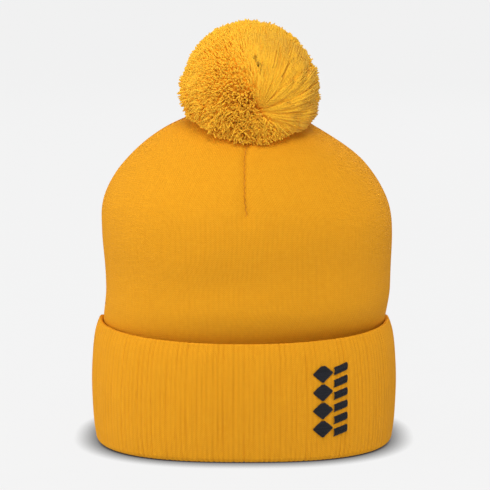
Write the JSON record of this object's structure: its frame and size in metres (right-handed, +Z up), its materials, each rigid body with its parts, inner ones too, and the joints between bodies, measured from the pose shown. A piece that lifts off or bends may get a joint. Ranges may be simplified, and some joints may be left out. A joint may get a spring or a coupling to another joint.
{
  "type": "knit beanie with pom",
  "caption": "Lined knit winter hat with a turned-up cuff, a yarn pom tied on the crown and a small stitched geometric motif on the cuff.",
  "frame": {"origin": "centre of the foot of the turned-up cuff, on the surface the hat stands on", "axes": "+Z up through the crown, -Y towards the hat's front, +X to the viewer's right when facing the front"},
  "size_m": [0.1938, 0.1704, 0.2666],
  "materials": {
    "knit": "fine-gauge acrylic knit, matt",
    "lining_knit": "fine-gauge acrylic knit, matt",
    "cuff_knit": "fine-gauge acrylic knit, matt",
    "seam_thread": "overlocked sewing thread",
    "pom_yarn": "cut acrylic yarn, fluffy",
    "pom_tie_thread": "twisted yarn",
    "motif_thread": "embroidery thread, slight sheen",
    "backing": "non-woven stabiliser",
    "label_satin": "woven satin ribbon, blank"
  },
  "bodies": {
    "cuff": {"cuff_face": "cuff_knit", "cuff_back": "lining_knit", "motif_backing": "backing", "stitched_left_1": "motif_thread", "stitched_left_2": "motif_thread", "stitched_left_3": "motif_thread", "stitched_left_4": "motif_thread", "stitched_right_1": "motif_thread", "stitched_right_2": "motif_thread", "stitched_right_3": "motif_thread", "stitched_right_4": "motif_thread", "stitched_right_5": "motif_thread", "stitched_right_6": "motif_thread"},
    "crown": {"outer_shell": "knit", "lining_shell": "lining_knit", "crown_seam_front": "seam_thread", "crown_seam_right": "seam_thread", "crown_seam_back": "seam_thread", "crown_seam_left": "seam_thread", "lining_seam_front": "seam_thread", "lining_seam_right": "seam_thread", "lining_seam_back": "seam_thread", "lining_seam_left": "seam_thread", "anchor_knot": "pom_tie_thread", "label_tack": "label_satin"},
    "pom_thread": {"pom_anchor_thread": "pom_tie_thread"},
    "pom": {"pom_tuft_left": "pom_yarn", "pom_tuft_right": "pom_yarn", "pom_tie": "pom_tie_thread"},
    "label": {"care_label": "label_satin"}
  },
  "joints": [
    {"name": "cuff_let_down", "type": "slide", "parent": "cuff", "child": "crown", "axis": [0, 0, 1], "range_m": [0, 0.06]},
    {"name": "pom_nod", "type": "hinge", "parent": "crown", "child": "pom_thread", "pos_m": [0.0017, -0.007, 0.2135], "axis": [-1, 0, 0], "range_deg": [0, 8], "stiffness_Nm_per_rad": 0.2},
    {"name": "pom_sway", "type": "hinge", "parent": "pom_thread", "child": "pom", "pos_m": [0.0017, -0.007, 0.2135], "axis": [0, 1, 0], "range_deg": [-6, 6], "stiffness_Nm_per_rad": 0.6},
    {"name": "label_flap", "type": "hinge", "parent": "crown", "child": "label", "pos_m": [0, 0.0757, 0.0802], "axis": [-1, 0, 0], "range_deg": [0, 60]}
  ]
}
